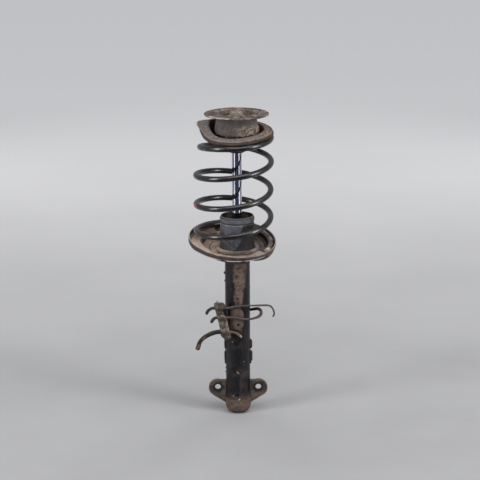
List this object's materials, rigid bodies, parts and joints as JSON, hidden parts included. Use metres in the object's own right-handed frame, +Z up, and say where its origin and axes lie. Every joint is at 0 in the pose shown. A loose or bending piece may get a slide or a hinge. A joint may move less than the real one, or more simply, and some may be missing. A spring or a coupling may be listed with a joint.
{
  "type": "suspension strut",
  "caption": "Suspension strut with coil spring on a tilted seat, chromed rod, rubber top mount with disc, knuckle ears and bent line-guide wires on the tube.",
  "frame": {"origin": "centre of the flat foot of the base cap, on the axis of the strut tube and piston rod", "axes": "+Z up the rod axis towards the top mount, +X along the line of the two lower knuckle holes, -Y the side that carries the line bracket"},
  "size_m": [0.1999, 0.1965, 0.711],
  "materials": {
    "tube_paint": "worn satin black paint with brown dust",
    "cap_paint": "worn paint under brown dirt",
    "bracket_paint": "worn black paint with brown rust dust",
    "lug_paint": "worn black paint",
    "perch_paint": "worn grey-black paint under tan dust",
    "pad_rubber": "matt black",
    "sleeve_plastic": "scuffed bluish dark grey",
    "cap_steel": "black coated",
    "wire_steel": "worn coating with rust dust",
    "hose_rubber": "black with rust stains",
    "inner_steel": "drawn",
    "valve_brass": "sintered",
    "guide_alloy": "machined",
    "seal_rubber": "oiled",
    "spring_paint": "satin black coating, dusty",
    "plate_paint": "worn grey-black paint with rust spots",
    "top_pad_rubber": "aged brown rubber",
    "race_steel": "ground",
    "cage_polymer": "moulded",
    "ball_steel": "polished",
    "rod_chrome": "hard chrome, polished",
    "sinter_steel": "sintered",
    "band_plastic": "filled polymer",
    "bump_foam": "cellular polyurethane",
    "hub_rubber": "dusty grey-brown",
    "disc_steel": "worn paint, dust and rust",
    "fastener_steel": "dusty plated steel"
  },
  "bodies": {
    "housing": {"strut_tube": "tube_paint", "base_cap": "cap_paint", "knuckle_bracket": "bracket_paint", "upper_knuckle_bracket": "lug_paint", "lower_spring_perch": "perch_paint", "lower_spring_pad": "pad_rubber", "dust_sleeve": "sleeve_plastic", "tube_end_cap": "cap_steel", "line_bracket": "bracket_paint", "upper_guide_wire": "wire_steel", "loop_guide_wire": "wire_steel", "lower_guide_arm": "wire_steel", "arm_rubber_sleeve": "hose_rubber", "pressure_tube": "inner_steel", "base_valve": "valve_brass", "rod_guide": "guide_alloy", "rod_seal": "seal_rubber", "coil_spring": "spring_paint"},
    "upper_seat": {"upper_spring_plate": "plate_paint", "upper_spring_pad": "top_pad_rubber", "bearing_lower_race": "race_steel"},
    "roller_cage": {"bearing_cage": "cage_polymer", "bearing_balls": "ball_steel"},
    "rod_mount": {"piston_rod": "rod_chrome", "piston": "sinter_steel", "piston_band": "band_plastic", "piston_shims": "inner_steel", "piston_nut": "inner_steel", "rebound_stop": "seal_rubber", "bump_stop": "bump_foam", "shoulder_washer": "fastener_steel", "bearing_upper_race": "race_steel", "mount_inner_sleeve": "inner_steel", "mount_rubber_hub": "hub_rubber", "mount_disc": "disc_steel", "top_washer": "fastener_steel", "top_nut": "fastener_steel"}
  },
  "joints": [
    {"name": "damper_travel", "type": "slide", "parent": "housing", "child": "upper_seat", "axis": [0, 0, 1], "range_m": [-0.15, 0], "stiffness_N_per_m": 28000, "springref_m": 0.05, "deforming": ["coil_spring"]},
    {"name": "steer_swivel", "type": "hinge", "parent": "upper_seat", "child": "rod_mount", "pos_m": [0, 0, 0.6573], "axis": [0, 0, 1], "range_deg": [-40, 40]},
    {"name": "cage_roll", "type": "hinge", "parent": "upper_seat", "child": "roller_cage", "pos_m": [0, 0, 0.6573], "axis": [0, 0, 1], "range_deg": [-20, 20]}
  ],
  "couplings": [
    {"joint": "cage_roll", "follows": "steer_swivel", "ratio": 0.5}
  ]
}
